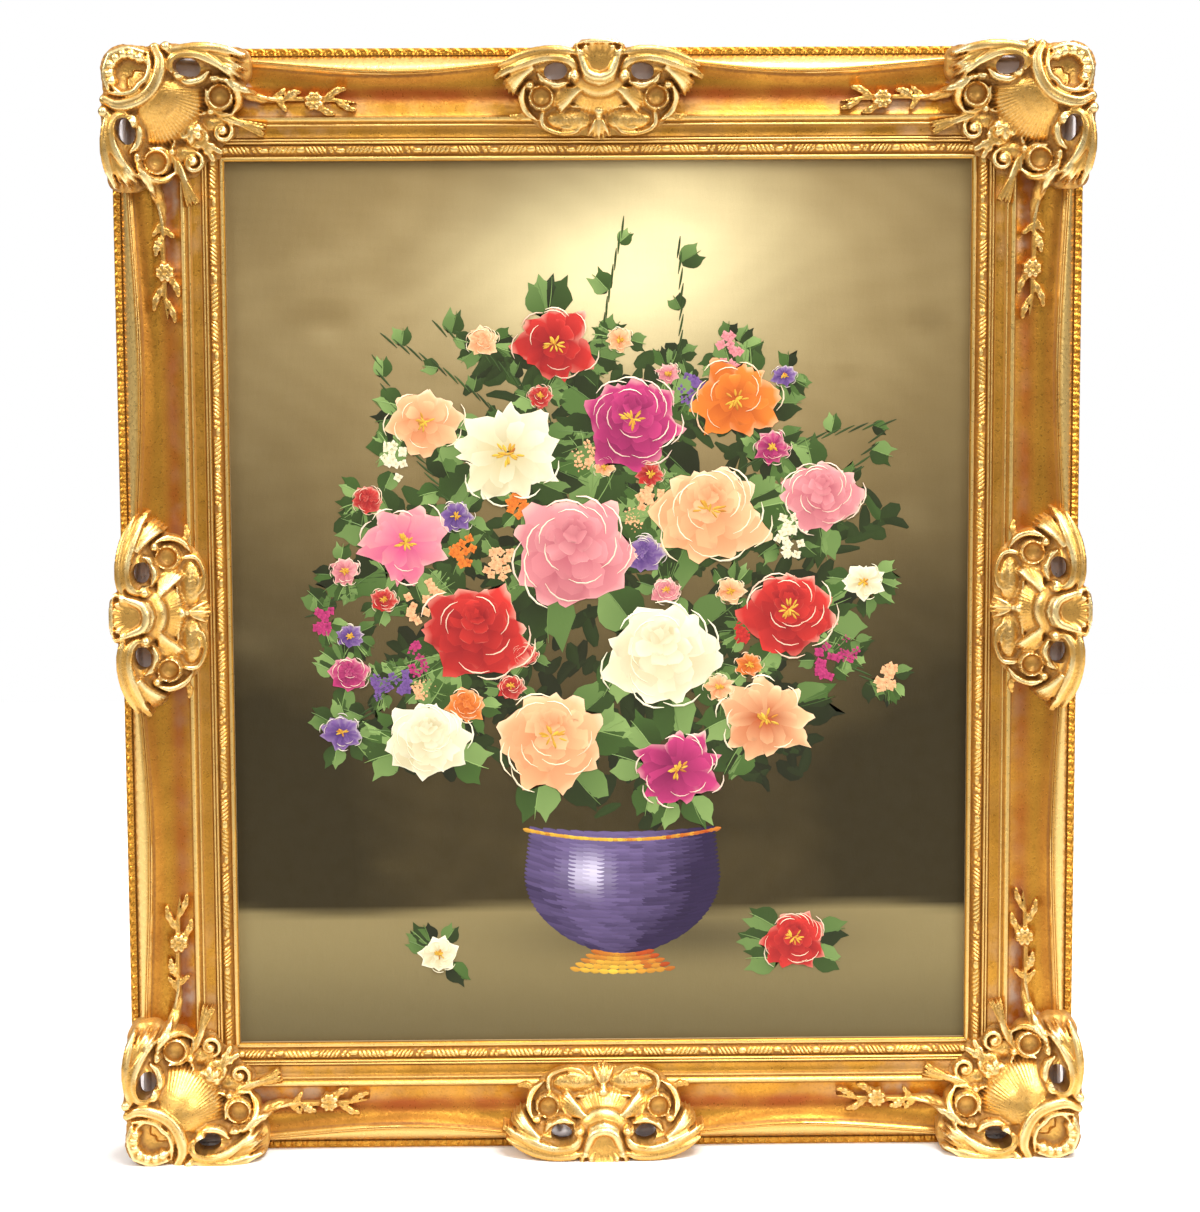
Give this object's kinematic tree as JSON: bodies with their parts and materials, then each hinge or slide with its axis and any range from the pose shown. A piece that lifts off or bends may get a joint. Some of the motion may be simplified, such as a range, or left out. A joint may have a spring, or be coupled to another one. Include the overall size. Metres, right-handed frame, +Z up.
{
  "type": "framed acrylic painting",
  "caption": "Floral still life on stretched canvas in a gilt swept frame with pierced corner and centre ornaments, hung on a wall.",
  "frame": {"origin": "hanging point on the flat back of the top rail, midway along it", "axes": "+Z up, +Y into the wall, so that the picture faces -Y; +X to the right of a viewer who faces it"},
  "size_m": [0.6588, 0.0727, 0.7608],
  "materials": {
    "gilt_wood": "gold leaf over red-brown bole, rubbed on the high edges",
    "gilt_casting": "cast composition, gilt and toned in the recesses",
    "painted_canvas": "acrylic paint on stretched cotton canvas",
    "pine": "bare planed pine"
  },
  "bodies": {
    "root": {"rail_top": "gilt_wood", "rail_left": "gilt_wood", "rail_bottom": "gilt_wood", "rail_right": "gilt_wood", "corner_ornament_bottom_left": "gilt_casting", "corner_ornament_top_right": "gilt_casting", "corner_ornament_bottom_right": "gilt_casting", "corner_ornament_top_left": "gilt_casting", "centre_ornament_top": "gilt_casting", "centre_ornament_left": "gilt_casting", "centre_ornament_bottom": "gilt_casting", "centre_ornament_right": "gilt_casting", "canvas": "painted_canvas", "stretcher_top": "pine", "stretcher_left": "pine", "stretcher_bottom": "pine", "stretcher_right": "pine"}
  },
  "joints": []
}
